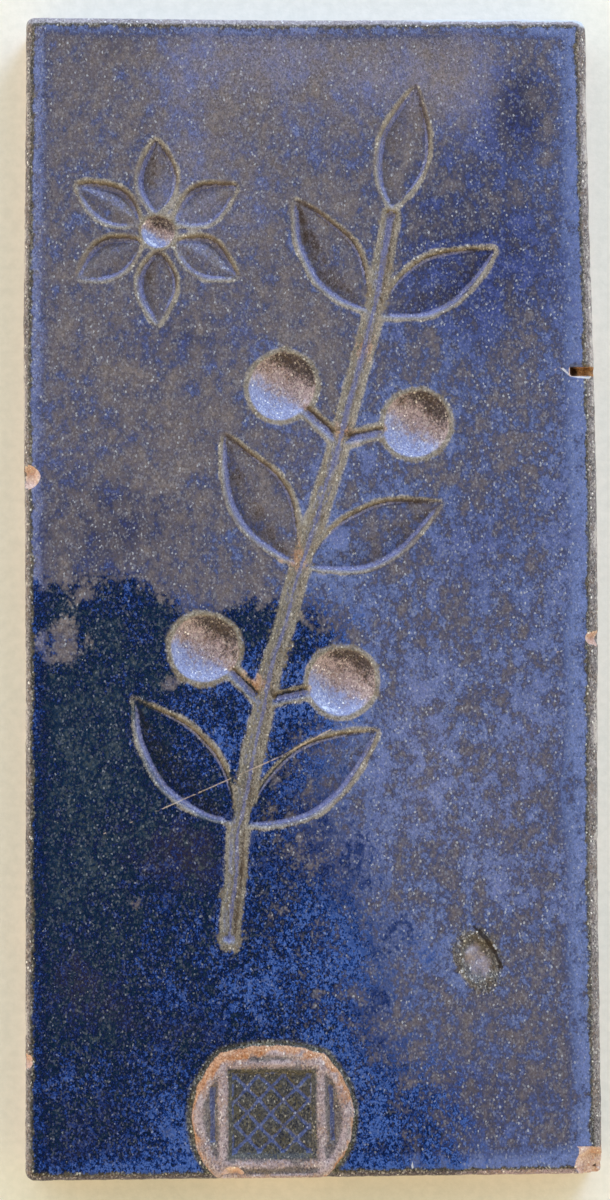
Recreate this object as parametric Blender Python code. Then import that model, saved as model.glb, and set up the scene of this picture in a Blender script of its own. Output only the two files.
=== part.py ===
# Hand-made relief tile of grogged clay, one fired piece, 148.8 x 300 x 14 mm.
# The back lies on z = 0 with its centre at the origin, +Z points out of the glazed face, and the long side
# runs along Y. The long sides bow out a little, and the upper side sags. The face carries an impressed
# leafy sprig with berries, an impressed six-petal rosette, a raised stamp pad on the lower edge, a blown
# pit, an edge crack and the chips along its edges.

import math

import bmesh
import bpy
from mathutils import Matrix, Vector

# The slab. Its width is taken over the bows of both long sides.
TILE_WIDTH = 0.1488
TILE_LENGTH = 0.300
TILE_THICKNESS = 0.014
BACK_CHAMFER = 0.0008
EDGE_DROP = 0.0024
EDGE_STEPS = 4
CORNER_STEPS = 6
LONG_SIDE_STEPS = 24
SHORT_SIDE_STEPS = 10
CORNER_RADIUS = {"bottom_left": 0.0026, "bottom_right": 0.0015, "top_right": 0.0031, "top_left": 0.0020}

# The sides aren't straight: the middle and half length of each bow, and how far it stands out
BOW_LEFT = (0.060, 0.088, 0.0006)
BOW_RIGHT = (0.022, 0.110, 0.0012)
SAG_TOP = (-0.005, 0.060, 0.0004)

# How far each edge rounds over onto the face. The right edge widens downwards.
ROUND_LEFT = 0.0014
ROUND_TOP = 0.0021
ROUND_BOTTOM = 0.0020
ROUND_RIGHT_UPPER = 0.0019
ROUND_RIGHT_LOWER = 0.0034

# The sprig: a stem groove through these points of the face, pairs of leaves, one leaf at the tip, berries
STEM_POINTS = [
    (-0.0220, -0.0900),
    (-0.0175, -0.0520),
    (-0.0075, -0.0100),
    (0.0055, 0.0320),
    (0.0165, 0.0720),
    (0.0215, 0.0980),
]
STEM_STEPS = 36
STEM_RADIUS_FOOT = 0.0025
STEM_RADIUS_TIP = 0.0017
STEM_DEPTH = 0.0013
LEAF_PAIR_PLACES = (0.15, 0.47, 0.79)
LEAF_ANGLE = math.radians(47)
LEAF_LENGTH_FOOT = 0.043
LEAF_LENGTH_TIP = 0.033
LEAF_WIDTH_SHARE = 0.38
LEAF_STAND_OFF = 0.0022
TIP_LEAF_STAND_OFF = 0.0010
LEAF_STEPS = 12
LEAF_DEPTH_HIGH_SIDE = 0.0011
LEAF_DEPTH_RIDGE = 0.0007
LEAF_DEPTH_LOW_SIDE = 0.0022
LEAF_DRAFT = 0.0010
BERRY_PLACES = ((0.31, -1), (0.31, 1), (0.63, -1), (0.63, 1))
BERRY_ANGLE = math.radians(62)
BERRY_OUT = 0.0205
BERRY_BALL_RADIUS = 0.0145
BERRY_DEPTH = 0.0030
STALK_RADIUS = 0.0015
STALK_DEPTH = 0.0009

# The rosette
ROSETTE_CENTRE = (-0.0395, 0.0930)
ROSETTE_PETALS = 6
ROSETTE_INNER_RADIUS = 0.0048
PETAL_LENGTH = 0.0195
PETAL_WIDTH_SHARE = 0.48
ROSETTE_BALL_RADIUS = 0.0056
ROSETTE_BALL_DEPTH = 0.0019

# The stamp pad, a low disc that a flatter arc cuts off above and the lower edge below, with a square recess
# and a groove on either side
PAD_CENTRE = (-0.0112, -0.1343)
PAD_RADIUS = 0.0206
PAD_TOP_ABOVE_CENTRE = 0.0184
PAD_TOP_ARC_RADIUS = 0.0357
PAD_RISE = 0.0014
PAD_STEPS = 48
PAD_EDGE_GAP = 0.0003
PAD_RECESS_SIZE = 0.0220
PAD_RECESS_MIDDLE = (-0.0113, -0.1334)
PAD_RECESS_DEPTH = 0.0013
PAD_GROOVE_OFFSET = 0.0152
PAD_GROOVE_WIDTH = 0.0022
PAD_GROOVE_LENGTH = 0.0150
PAD_GROOVE_DEPTH = 0.0007

# The crack that opened in the right edge, from its blind end out through the wall
CRACK_Y = 0.0563
CRACK_BLIND_X = 0.0676
CRACK_HALF_WIDTH_BLIND = 0.0009
CRACK_HALF_WIDTH_EDGE = 0.0012
CRACK_DEPTH_BLIND = 0.0014
CRACK_DEPTH_EDGE = 0.0042

# The blown pit
PIT_CENTRE = (0.0418, -0.0950)
PIT_RADII = (0.0062, 0.0078, 0.0030)
PIT_DEPTH = 0.0014

# Chips: the middle of the missing piece, and its radii
CHIPS = {
    "corner": ((0.0722, -0.1485, 0.0152), (0.0063, 0.0060, 0.0050)),
    "left_edge": ((-0.0748, 0.0290, 0.0150), (0.0049, 0.0034, 0.0040)),
    "right_edge": ((0.0752, -0.0131, 0.0148), (0.0046, 0.0026, 0.0042)),
    "left_low_edge": ((-0.0745, -0.1197, 0.0146), (0.0028, 0.0024, 0.0030)),
    "lower_edge_left": ((-0.0212, -0.1503, 0.0166), (0.0036, 0.0040, 0.0032)),
    "lower_edge_middle": ((-0.0121, -0.1508, 0.0166), (0.0022, 0.0026, 0.0030)),
}

CLEAR_ABOVE = 0.0020


def clear_scene():
    for item in list(bpy.data.objects):
        bpy.data.objects.remove(item)


def glazed_clay_material():
    material = bpy.data.materials.new("blue_glazed_clay")
    material.use_nodes = True
    shader = material.node_tree.nodes["Principled BSDF"]
    shader.inputs["Base Color"].default_value = (0.085, 0.105, 0.205, 1.0)
    shader.inputs["Roughness"].default_value = 0.42
    shader.inputs["Metallic"].default_value = 0.0
    return material


def mesh_object(name, bm):
    bmesh.ops.recalc_face_normals(bm, faces=bm.faces)
    mesh = bpy.data.meshes.new(name)
    bm.to_mesh(mesh)
    bm.free()
    placed = bpy.data.objects.new(name, mesh)
    bpy.context.scene.collection.objects.link(placed)
    return placed


def loft(bm, rings):
    # Joins closed rings of equal length and caps the first and the last.
    loops = [[bm.verts.new(point) for point in ring] for ring in rings]
    for lower, upper in zip(loops, loops[1:]):
        for i in range(len(lower)):
            j = (i + 1) % len(lower)
            bm.faces.new((lower[i], lower[j], upper[j], upper[i]))
    bm.faces.new(list(reversed(loops[0])))
    bm.faces.new(loops[-1])


def bow_at(place, bow):
    # How far a side stands out at one place along it.
    middle, half_length, rise = bow
    share = min(abs(place - middle) / half_length, 1.0)
    return 0.5 * rise * (1 + math.cos(math.pi * share))


def slab_ring(inset_share, back_inset, z):
    # The outline at one height. inset_share runs from 0 at the wall to 1 where the edge meets the face.
    half_w, half_l = TILE_WIDTH / 2, TILE_LENGTH / 2
    left = -half_w + BOW_LEFT[2] + back_inset + ROUND_LEFT * inset_share
    bottom = -half_l + back_inset + ROUND_BOTTOM * inset_share
    top = half_l - back_inset - ROUND_TOP * inset_share
    right_low = half_w - BOW_RIGHT[2] - back_inset - ROUND_RIGHT_LOWER * inset_share
    right_high = half_w - BOW_RIGHT[2] - back_inset - ROUND_RIGHT_UPPER * inset_share
    corners = [
        (left, bottom, 1, 1, math.pi, CORNER_RADIUS["bottom_left"]),
        (right_low, bottom, -1, 1, 1.5 * math.pi, CORNER_RADIUS["bottom_right"]),
        (right_high, top, -1, -1, 0.0, CORNER_RADIUS["top_right"]),
        (left, top, 1, -1, 0.5 * math.pi, CORNER_RADIUS["top_left"]),
    ]
    arcs = []
    for x, y, inward_x, inward_y, start, radius in corners:
        angles = [start + 0.5 * math.pi * step / CORNER_STEPS for step in range(CORNER_STEPS + 1)]
        middle = Vector((x + radius * inward_x, y + radius * inward_y))
        arcs.append([middle + radius * Vector((math.cos(angle), math.sin(angle))) for angle in angles])
    ring = []
    for i, arc in enumerate(arcs):
        steps = SHORT_SIDE_STEPS if i % 2 == 0 else LONG_SIDE_STEPS
        next_start = arcs[(i + 1) % len(arcs)][0]
        ring += arc + [arc[-1].lerp(next_start, step / steps) for step in range(1, steps)]
    return [(
        x + bow_at(y, BOW_RIGHT) * (x > 0) - bow_at(y, BOW_LEFT) * (x < 0),
        y - bow_at(x, SAG_TOP) * (y > 0),
        z,
    ) for x, y in ring]


def build_slab():
    rings = [slab_ring(0.0, BACK_CHAMFER, 0.0), slab_ring(0.0, 0.0, BACK_CHAMFER)]
    for step in range(EDGE_STEPS + 1):
        angle = 0.5 * math.pi * step / EDGE_STEPS
        height = TILE_THICKNESS - EDGE_DROP * (1 - math.sin(angle))
        rings.append(slab_ring(1 - math.cos(angle), 0.0, height))
    bm = bmesh.new()
    loft(bm, rings)
    return mesh_object("tile", bm)


def pad_ring(shrink, z):
    # A circle under a flatter arc, whose foot is cut off just inside the tile's lower wall.
    floor_y = -TILE_LENGTH / 2 + PAD_EDGE_GAP + shrink
    arc_y = PAD_CENTRE[1] + PAD_TOP_ABOVE_CENTRE - PAD_TOP_ARC_RADIUS
    ring = []
    for step in range(PAD_STEPS):
        angle = 2 * math.pi * step / PAD_STEPS
        across = (PAD_RADIUS - shrink) * math.cos(angle)
        y = PAD_CENTRE[1] + (PAD_RADIUS - shrink) * math.sin(angle)
        ceiling_y = arc_y + math.sqrt((PAD_TOP_ARC_RADIUS - shrink) ** 2 - across**2)
        ring.append((PAD_CENTRE[0] + across, max(min(y, ceiling_y), floor_y), z))
    return ring


def build_pad():
    top = TILE_THICKNESS + PAD_RISE
    bm = bmesh.new()
    loft(bm, [
        pad_ring(0.0, TILE_THICKNESS - EDGE_DROP * 1.6),
        pad_ring(0.0, top - PAD_RISE * 0.75),
        pad_ring(0.0004, top - PAD_RISE * 0.35),
        pad_ring(0.0011, top - PAD_RISE * 0.08),
        pad_ring(0.0019, top),
    ])
    return mesh_object("pad_blank", bm)


def stem_point(share):
    # A smooth curve through STEM_POINTS (Catmull-Rom), with share from 0 at the foot to 1 at the tip.
    points = [Vector(p) for p in STEM_POINTS]
    points = [2 * points[0] - points[1], *points, 2 * points[-1] - points[-2]]
    spans = len(points) - 3
    span = min(int(share * spans), spans - 1)
    t = share * spans - span
    a, b, c, d = points[span : span + 4]
    return 0.5 * (2 * b + (c - a) * t + (2 * a - 5 * b + 4 * c - d) * t**2 + (3 * b - a - 3 * c + d) * t**3)


def stem_direction(share):
    step = 0.01
    return (stem_point(min(share + step, 1.0)) - stem_point(max(share - step, 0.0))).normalized()


def turned(direction, angle):
    return Matrix.Rotation(angle, 2) @ direction


def groove_cutter(name, points, radii, depth):
    # A round rod along a line of face points, sunk so that it cuts a groove of that depth.
    sides = 10
    rings = []
    for i, (point, radius) in enumerate(zip(points, radii)):
        before, after = points[max(i - 1, 0)], points[min(i + 1, len(points) - 1)]
        across = turned((after - before).normalized(), 0.5 * math.pi)
        centre_z = TILE_THICKNESS + radius - depth
        ring = []
        for side in range(sides):
            angle = 2 * math.pi * (side + 0.5) / sides
            flat = point + across * radius * math.cos(angle)
            ring.append((flat.x, flat.y, centre_z + radius * math.sin(angle)))
        rings.append(ring)
    bm = bmesh.new()
    loft(bm, rings)
    return mesh_object(name, bm)


def leaf_cutter(name, foot, direction, length, width, low_side):
    # A pointed leaf pressed in at a tilt. Its floor folds along a low midrib, and the side that low_side
    # names, +1 for the left of its direction and -1 for the right, is the deeper one.
    across = turned(direction, 0.5 * math.pi)
    top_z = TILE_THICKNESS + CLEAR_ABOVE
    bm = bmesh.new()

    def vert(along, sideways, z):
        flat = foot + direction * along + across * sideways
        return bm.verts.new((flat.x, flat.y, z))

    floor = {-1: [], 0: [], 1: []}
    rim = {-1: [], 1: []}
    for step in range(LEAF_STEPS + 1):
        share = step / LEAF_STEPS
        half = 0.5 * width * math.sin(math.pi * share**0.9)
        fall = 0.4 + 0.6 * math.sin(math.pi * share)
        at_tip = step in (0, LEAF_STEPS)
        floor[0].append(vert(length * share, 0.0, TILE_THICKNESS - LEAF_DEPTH_RIDGE * fall))
        for side in (-1, 1):
            depth = LEAF_DEPTH_LOW_SIDE if side == low_side else LEAF_DEPTH_HIGH_SIDE
            along = length * share + LEAF_DRAFT * {0: -1, LEAF_STEPS: 1}.get(step, 0)
            if at_tip:
                floor[side].append(floor[0][-1])
                rim[side].append(rim[-1][-1] if side == 1 else vert(along, 0.0, top_z))
            else:
                floor[side].append(vert(length * share, side * half, TILE_THICKNESS - depth * fall))
                rim[side].append(vert(along, side * (half + LEAF_DRAFT), top_z))

    def strip(line_a, line_b):
        for i in range(LEAF_STEPS):
            corners = [line_a[i], line_a[i + 1], line_b[i + 1], line_b[i]]
            bm.faces.new(list(dict.fromkeys(corners)))

    for side in (-1, 1):
        strip(floor[0], floor[side])
        strip(floor[side], rim[side])
    bm.faces.new(rim[1] + list(reversed(rim[-1][1:-1])))
    return mesh_object(name, bm)


def ball_cutter(name, centre, radius, depth):
    bm = bmesh.new()
    place = Matrix.Translation((centre.x, centre.y, TILE_THICKNESS + radius - depth))
    bmesh.ops.create_uvsphere(bm, u_segments=28, v_segments=18, radius=radius, matrix=place)
    return mesh_object(name, bm)


def lump_cutter(name, centre, radii, unevenness, phase):
    # A rounded lump with an uneven surface, for a chip or a pit.
    bm = bmesh.new()
    bmesh.ops.create_icosphere(bm, subdivisions=2, radius=1.0)
    for corner in bm.verts:
        x, y, z = corner.co
        swell = math.sin(5.1 * x + phase) * math.sin(4.3 * y + 2 * phase)
        swell += 0.6 * math.sin(6.7 * z + 3 * phase)
        corner.co = Vector(centre) + corner.co * Vector(radii) * (1 + unevenness * swell)
    return mesh_object(name, bm)


def block_cutter(name, lower_points, upper_points):
    # A block between two matching rings of points.
    bm = bmesh.new()
    loft(bm, [lower_points, upper_points])
    return mesh_object(name, bm)


def rectangle(centre, size_x, size_y, z):
    x, y = centre
    return [
        (x - size_x / 2, y - size_y / 2, z),
        (x + size_x / 2, y - size_y / 2, z),
        (x + size_x / 2, y + size_y / 2, z),
        (x - size_x / 2, y + size_y / 2, z),
    ]


def sprig_cutters():
    shares = [i / STEM_STEPS for i in range(STEM_STEPS + 1)]
    radii = [STEM_RADIUS_FOOT + (STEM_RADIUS_TIP - STEM_RADIUS_FOOT) * share for share in shares]
    cutters = [groove_cutter("stem_groove", [stem_point(share) for share in shares], radii, STEM_DEPTH)]
    for i, share in enumerate(LEAF_PAIR_PLACES):
        length = LEAF_LENGTH_FOOT + (LEAF_LENGTH_TIP - LEAF_LENGTH_FOOT) * share
        for side in (-1, 1):
            direction = turned(stem_direction(share), -side * LEAF_ANGLE)
            foot = stem_point(share) + direction * LEAF_STAND_OFF
            name = f"leaf_{i}_{'right' if side > 0 else 'left'}"
            cutters.append(leaf_cutter(name, foot, direction, length, length * LEAF_WIDTH_SHARE, -side))
    tip = stem_direction(1.0)
    foot = stem_point(1.0) + tip * TIP_LEAF_STAND_OFF
    width = LEAF_LENGTH_TIP * LEAF_WIDTH_SHARE
    cutters.append(leaf_cutter("leaf_tip", foot, tip, LEAF_LENGTH_TIP, width, 1))
    for i, (share, side) in enumerate(BERRY_PLACES):
        outwards = turned(stem_direction(share), -side * BERRY_ANGLE)
        centre = stem_point(share) + outwards * BERRY_OUT
        stalk = [stem_point(share) + outwards * BERRY_OUT * step / 4 for step in range(4)]
        cutters.append(groove_cutter(f"stalk_{i}", stalk, [STALK_RADIUS] * 4, STALK_DEPTH))
        cutters.append(ball_cutter(f"berry_{i}", centre, BERRY_BALL_RADIUS, BERRY_DEPTH))
    return cutters


def rosette_cutters():
    centre = Vector(ROSETTE_CENTRE)
    cutters = [ball_cutter("rosette_middle", centre, ROSETTE_BALL_RADIUS, ROSETTE_BALL_DEPTH)]
    for petal in range(ROSETTE_PETALS):
        direction = turned(Vector((0.0, 1.0)), 2 * math.pi * petal / ROSETTE_PETALS)
        foot = centre + direction * ROSETTE_INNER_RADIUS
        low_side = 1 if direction.x >= 0 else -1
        width = PETAL_LENGTH * PETAL_WIDTH_SHARE
        cutters.append(leaf_cutter(f"petal_{petal}", foot, direction, PETAL_LENGTH, width, low_side))
    return cutters


def pad_cutters():
    pad_top = TILE_THICKNESS + PAD_RISE
    clear = pad_top + CLEAR_ABOVE
    size = PAD_RECESS_SIZE
    cutters = [block_cutter(
        "pad_recess",
        rectangle(PAD_RECESS_MIDDLE, size - 0.0016, size - 0.0016, pad_top - PAD_RECESS_DEPTH),
        rectangle(PAD_RECESS_MIDDLE, size + 0.0016, size + 0.0016, clear),
    )]
    for side in (-1, 1):
        middle = (PAD_RECESS_MIDDLE[0] + side * PAD_GROOVE_OFFSET, PAD_RECESS_MIDDLE[1])
        cutters.append(block_cutter(
            f"pad_groove_{'right' if side > 0 else 'left'}",
            rectangle(middle, PAD_GROOVE_WIDTH * 0.6, PAD_GROOVE_LENGTH * 0.9, pad_top - PAD_GROOVE_DEPTH),
            rectangle(middle, PAD_GROOVE_WIDTH * 1.6, PAD_GROOVE_LENGTH * 1.1, clear),
        ))
    return cutters


def damage_cutters():
    out_x = TILE_WIDTH / 2 + 0.003
    high = TILE_THICKNESS + CLEAR_ABOVE
    blind, edge = CRACK_HALF_WIDTH_BLIND, CRACK_HALF_WIDTH_EDGE
    plan = [
        (CRACK_BLIND_X, CRACK_Y - blind),
        (out_x, CRACK_Y - edge),
        (out_x, CRACK_Y + edge),
        (CRACK_BLIND_X, CRACK_Y + blind),
    ]
    depths = [CRACK_DEPTH_BLIND, CRACK_DEPTH_EDGE, CRACK_DEPTH_EDGE, CRACK_DEPTH_BLIND]
    cutters = [block_cutter(
        "edge_crack",
        [(x, y, TILE_THICKNESS - depth) for (x, y), depth in zip(plan, depths)],
        [(x, y, high) for x, y in plan],
    )]
    pit_centre = (*PIT_CENTRE, TILE_THICKNESS + PIT_RADII[2] - PIT_DEPTH)
    cutters.append(lump_cutter("blown_pit", pit_centre, PIT_RADII, 0.10, 0.7))
    for i, (name, (centre, radii)) in enumerate(CHIPS.items()):
        cutters.append(lump_cutter(f"chip_{name}", centre, radii, 0.09, 1.3 * i))
    return cutters


def boolean(target, operation, cutters, name):
    group = bpy.data.collections.new(name)
    bpy.context.scene.collection.children.link(group)
    for cutter in cutters:
        bpy.context.scene.collection.objects.unlink(cutter)
        group.objects.link(cutter)
        cutter.hide_render = True
        cutter.display_type = "WIRE"
    modifier = target.modifiers.new(name, "BOOLEAN")
    modifier.operation = operation
    modifier.operand_type = "COLLECTION"
    modifier.collection = group
    modifier.solver = "EXACT"


def main():
    clear_scene()
    tile = build_slab()
    tile.data.materials.append(glazed_clay_material())
    boolean(tile, "UNION", [build_pad()], "raised_pad")
    cutters = sprig_cutters() + rosette_cutters() + pad_cutters() + damage_cutters()
    boolean(tile, "DIFFERENCE", cutters, "impressions")


main()
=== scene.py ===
import math

import bmesh
import bpy
import numpy as np
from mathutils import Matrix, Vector, noise
from mathutils.bvhtree import BVHTree


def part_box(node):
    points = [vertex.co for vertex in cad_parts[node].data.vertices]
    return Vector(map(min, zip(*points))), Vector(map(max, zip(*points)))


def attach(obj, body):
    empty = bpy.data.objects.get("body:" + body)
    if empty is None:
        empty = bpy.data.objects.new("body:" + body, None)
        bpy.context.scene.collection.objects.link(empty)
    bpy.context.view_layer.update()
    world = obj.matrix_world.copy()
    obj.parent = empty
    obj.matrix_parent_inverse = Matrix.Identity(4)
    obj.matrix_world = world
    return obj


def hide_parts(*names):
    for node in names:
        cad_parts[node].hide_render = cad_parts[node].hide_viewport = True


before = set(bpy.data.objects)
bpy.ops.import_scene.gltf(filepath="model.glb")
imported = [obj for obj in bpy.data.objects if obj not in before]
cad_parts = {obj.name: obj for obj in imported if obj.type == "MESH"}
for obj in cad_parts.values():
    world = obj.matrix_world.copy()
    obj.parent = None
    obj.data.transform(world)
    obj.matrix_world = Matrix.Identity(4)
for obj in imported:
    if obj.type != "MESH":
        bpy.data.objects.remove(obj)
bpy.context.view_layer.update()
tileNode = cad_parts["tile"]
tileLow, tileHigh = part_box("tile")
mm = 0.001
faceLevel = 14.0 * mm  # the flat of the glazed face, above the back


def rgb(red, green, blue):
    # a colour given 0 to 255, as the linear values Blender wants
    shares = [part / 255 for part in (red, green, blue)]
    return (*[s / 12.92 if s <= 0.04045 else ((s + 0.055) / 1.055) ** 2.4 for s in shares], 1.0)


def eased(value, low, high):
    share = np.clip((value - low) / (high - low), 0, 1)
    return share * share * (3 - 2 * share)


# Reading the pressed shape off the frame

probe = {
    "cell": 0.35 * mm,
    "margin": 3.5 * mm,
    "above": 6.0 * mm,
    "missLevel": 11.6 * mm,  # height taken for places off the tile
    "wallLevel": 5.0 * mm,
    "wallEnds": 6.0 * mm,  # left out at the corners
    "wallSteps": 72,
    "standOff": 5.0 * mm,
}


def probeAxes():
    xs = np.arange(tileLow.x - probe["margin"], tileHigh.x + probe["margin"], probe["cell"])
    ys = np.arange(tileLow.y - probe["margin"], tileHigh.y + probe["margin"], probe["cell"])
    return xs, ys


def probeHeights(tree):
    down = Vector((0, 0, -1))
    start = tileHigh.z + probe["above"]
    heights = np.full((len(gridY), len(gridX)), probe["missLevel"])
    for row, y in enumerate(gridY):
        for column, x in enumerate(gridX):
            hit = tree.ray_cast(Vector((x, y, start)), down)[0]
            if hit is not None:
                heights[row, column] = hit.z
    return heights


def probeWall(tree, axis, sign):
    # one side of the tile: places along it, and where its wall stands at each
    along = 1 - axis
    ends = tileLow[along] + probe["wallEnds"], tileHigh[along] - probe["wallEnds"]
    places = np.linspace(*ends, probe["wallSteps"])
    outside = (tileHigh if sign > 0 else tileLow)[axis] + sign * probe["standOff"]
    inward = Vector((0, 0, 0))
    inward[axis] = -sign
    stands = []
    for place in places:
        start = Vector((0, 0, probe["wallLevel"]))
        start[axis], start[along] = outside, place
        stands.append(tree.ray_cast(start, inward)[0][axis])
    return places, np.array(stands)


def blurred(field, reach):
    # a Gaussian blur whose sigma is reach, in metres
    cells = reach / probe["cell"]
    span = max(1, round(3 * cells))
    taps = np.exp(-0.5 * (np.arange(-span, span + 1) / cells) ** 2)
    taps /= taps.sum()
    for axis in (0, 1):
        size = field.shape[axis]
        padded = np.pad(field, [(span, span) if a == axis else (0, 0) for a in (0, 1)], mode="edge")
        cuts = [padded[k : k + size] if axis == 0 else padded[:, k : k + size] for k in range(len(taps))]
        field = sum(tap * cut for tap, cut in zip(taps, cuts))
    return field


def softNoise(reach, seed):
    # smooth random hills about reach wide, with a spread of 1
    hills = blurred(np.random.default_rng(seed).standard_normal((len(gridY), len(gridX))), reach)
    return hills / hills.std()


def sampled(field, x, y):
    # the field's value at any places, between its cells
    across = np.clip((x - gridX[0]) / probe["cell"], 0, len(gridX) - 1.001)
    along = np.clip((y - gridY[0]) / probe["cell"], 0, len(gridY) - 1.001)
    column, row = across.astype(int), along.astype(int)
    fx, fy = across - column, along - row
    low = field[row, column] * (1 - fx) + field[row, column + 1] * fx
    high = field[row + 1, column] * (1 - fx) + field[row + 1, column + 1] * fx
    return low * (1 - fy) + high * fy


# The outline of the slab, the same at every height but for how far it is drawn in

outline = {
    "roundLeft": 1.4 * mm,
    "roundTop": 2.1 * mm,
    "roundBottom": 2.0 * mm,
    "roundRightUpper": 1.9 * mm,
    "roundRightLower": 3.4 * mm,
    "edgeDrop": 2.4 * mm,
    "backChamfer": 0.8 * mm,
    "corners": [  # direction of the corner and its radius
        (-1, -1, 2.6 * mm),
        (1, -1, 1.5 * mm),
        (1, 1, 3.1 * mm),
        (-1, 1, 2.0 * mm),
    ],
}


def planSides(x, y, share, inset=0.0):
    # the four sides beside a place; share is 0 at the wall and 1 where the rounded edge ends
    height = np.clip((y - tileLow.y) / (tileHigh.y - tileLow.y), 0, 1)
    roundRight = outline["roundRightLower"] * (1 - height) + outline["roundRightUpper"] * height
    left = np.interp(y, *wallLines["left"]) + inset + outline["roundLeft"] * share
    right = np.interp(y, *wallLines["right"]) - inset - roundRight * share
    bottom = np.interp(x, *wallLines["bottom"]) + inset + outline["roundBottom"] * share
    top = np.interp(x, *wallLines["top"]) - inset - outline["roundTop"] * share
    return left, right, bottom, top


def planPlace(u, v, share, inset=0.0):
    # u and v run 0 to 1 over the face; gives the place and the way out of the outline there
    roughX = tileLow.x + u * (tileHigh.x - tileLow.x)
    roughY = tileLow.y + v * (tileHigh.y - tileLow.y)
    left, right, bottom, top = planSides(roughX, roughY, share, inset)
    x = left + u * (right - left)
    y = bottom + v * (top - bottom)
    outX = np.where(u >= 1, 1.0, np.where(u <= 0, -1.0, 0.0))
    outY = np.where(outX != 0, 0.0, np.where(v >= 1, 1.0, -1.0))
    for signX, signY, radius in outline["corners"]:
        midX = (right if signX > 0 else left) - signX * radius
        midY = (top if signY > 0 else bottom) - signY * radius
        offX, offY = (x - midX) * signX, (y - midY) * signY
        inside = (offX > 0) & (offY > 0)
        reach = np.maximum(np.hypot(offX, offY), 1e-9)
        pull = np.maximum(offX, offY) / reach
        x = np.where(inside, midX + signX * offX * pull, x)
        y = np.where(inside, midY + signY * offY * pull, y)
        outX = np.where(inside, signX * offX / reach, outX)
        outY = np.where(inside, signY * offY / reach, outY)
    return x, y, outX, outY


# The marks of wear and making, where the frame has them, in mm

wear = {
    "chips": [  # middle of the missing piece, and its radii
        ((72.2, -148.5, 15.2), (6.3, 6.0, 5.0)),
        ((-74.8, 29.0, 15.0), (4.9, 3.4, 4.0)),
        ((75.2, -13.1, 14.8), (4.6, 2.6, 4.2)),
        ((-74.5, -119.7, 14.6), (2.8, 2.4, 3.0)),
        ((-21.2, -150.3, 16.6), (3.6, 4.0, 3.2)),
        ((-12.1, -150.8, 16.6), (2.2, 2.6, 3.0)),
    ],
    "crackBox": (67.2, 78.0, 55.1, 57.5),
    "pitCentre": (41.8, -95.0),
    "pitRadii": (5.6, 8.2),
    "pitTilt": 24,
    "hairlines": [
        [(-62.0, -66.0), (-56.9, -63.8), (-37.8, -55.8), (-23.2, -49.5), (-8.3, -43.0), (4.6, -36.2)],
        [(43.4, -24.8), (51.2, -21.0), (60.3, -17.7), (70.8, -13.9), (73.5, -13.0)],
        [(62.8, 56.2), (64.6, 57.3), (66.2, 56.6), (68.0, 56.2)],
    ],
    "paleLines": [  # the crack's lower lip, and a nick by the lower edge
        [(65.6, 56.9), (67.2, 55.4), (69.4, 54.8), (72.4, 54.6)],
        [(24.0, -145.0), (24.5, -147.6)],
    ],
    # a painted shadow under the pit's upper rim, drawn through these points
    "pitShadowLine": [(40.6, -86.8), (43.6, -89.6), (46.2, -93.6), (47.6, -97.2)],
    "bareCorner": (66.9, -142.8, 8.6),  # clay right of, below and above these
}

pad = {
    "centre": (-11.2, -134.3),
    "radius": 20.6,
    "topAboveCentre": 18.4,
    "topArcRadius": 35.7,
    "recess": 22.0,
    "recessMiddle": (-11.3, -133.4),
    "latticePitch": 4.4,
    "latticeWidth": 0.5,
    "latticeDepth": 0.40 * mm,
    "valleyDepth": 0.50 * mm,
}

sprig = {
    "bowls": [  # middle and radius of each round hollow
        ((-27.8, -15.4), 8.8),
        ((7.4, -24.1), 8.8),
        ((-7.4, 52.5), 8.8),
        ((27.4, 42.5), 8.8),
        ((-39.5, 93.0), 4.2),
    ],
    "stem": [
        (-22.0, -90.0), (-19.2, -63.1), (-13.8, -34.3), (-5.8, -4.0), (3.7, 26.1), (12.3, 55.9),
        (18.4, 80.4), (21.5, 98.0),
    ],
}

wobble = {
    "reach": 3.2 * mm,
    "amount": 0.20 * mm,
}


def chipped(x, y, z, swell=1.04):
    # 1 in the bare clay of a chip, 0 outside it; places in metres
    inside = np.zeros(np.shape(x))
    for middle, radii in wear["chips"]:
        out = [(p / mm - c) / (r * swell) for p, c, r in zip((x, y, z), middle, radii)]
        distance = np.sqrt(out[0] ** 2 + out[1] ** 2 + out[2] ** 2)
        inside = np.maximum(inside, 1 - eased(distance, 0.97, 1.08))
    return inside


def inCrack(x, y):
    left, right, low, high = wear["crackBox"]
    return (x > left * mm) & (x < right * mm) & (y > low * mm) & (y < high * mm)


def lineGap(x, y, points):
    # distance in mm from a line drawn through the points
    nearest = np.full(np.shape(x), 1e3)
    for (ax, ay), (bx, by) in zip(points, points[1:]):
        px, py = x / mm - ax, y / mm - ay
        dx, dy = bx - ax, by - ay
        share = np.clip((px * dx + py * dy) / (dx * dx + dy * dy), 0, 1)
        nearest = np.minimum(nearest, np.hypot(px - share * dx, py - share * dy))
    return nearest


def padGap(x, y):
    # how far inside the pad's outline, in mm
    dx, dy = x / mm - pad["centre"][0], y / mm - pad["centre"][1]
    arcMiddle = pad["topAboveCentre"] - pad["topArcRadius"]
    return np.minimum(pad["radius"] - np.hypot(dx, dy), pad["topArcRadius"] - np.hypot(dx, dy - arcMiddle))


def recessPlace(x, y):
    return x / mm - pad["recessMiddle"][0], y / mm - pad["recessMiddle"][1]


def recessGap(x, y):
    dx, dy = recessPlace(x, y)
    return pad["recess"] / 2 - np.maximum(np.abs(dx), np.abs(dy))


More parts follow.
